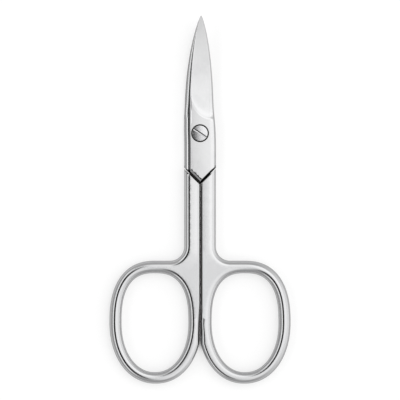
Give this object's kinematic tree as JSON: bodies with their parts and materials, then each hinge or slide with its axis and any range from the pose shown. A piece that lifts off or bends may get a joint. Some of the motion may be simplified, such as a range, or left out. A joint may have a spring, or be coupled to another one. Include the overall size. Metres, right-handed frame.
{
  "type": "nail scissors",
  "caption": "Curved nail scissors: two forged steel halves with oval finger rings, crossed at a lap joint on a slotted screw.",
  "frame": {"origin": "under the middle of the closed scissors, on the surface they lie on", "axes": "+Y along the scissors towards the tips, +Z out of the face with the screw's slot, +X to the right"},
  "size_m": [0.0444, 0.0899, 0.0062],
  "materials": {
    "polished_steel": "polished stainless steel, bright on the rounded edges and finely ground on the flats",
    "screw_steel": "turned stainless steel, lightly polished"
  },
  "bodies": {
    "back_half": {"back_half": "polished_steel", "pivot_screw": "screw_steel"},
    "front_half": {"front_half": "polished_steel"}
  },
  "joints": [
    {"name": "scissor_pivot", "type": "hinge", "parent": "back_half", "child": "front_half", "pos_m": [0, 0.01628, 0.0016], "axis": [0, 0, -1], "range_deg": [0, 130]}
  ]
}
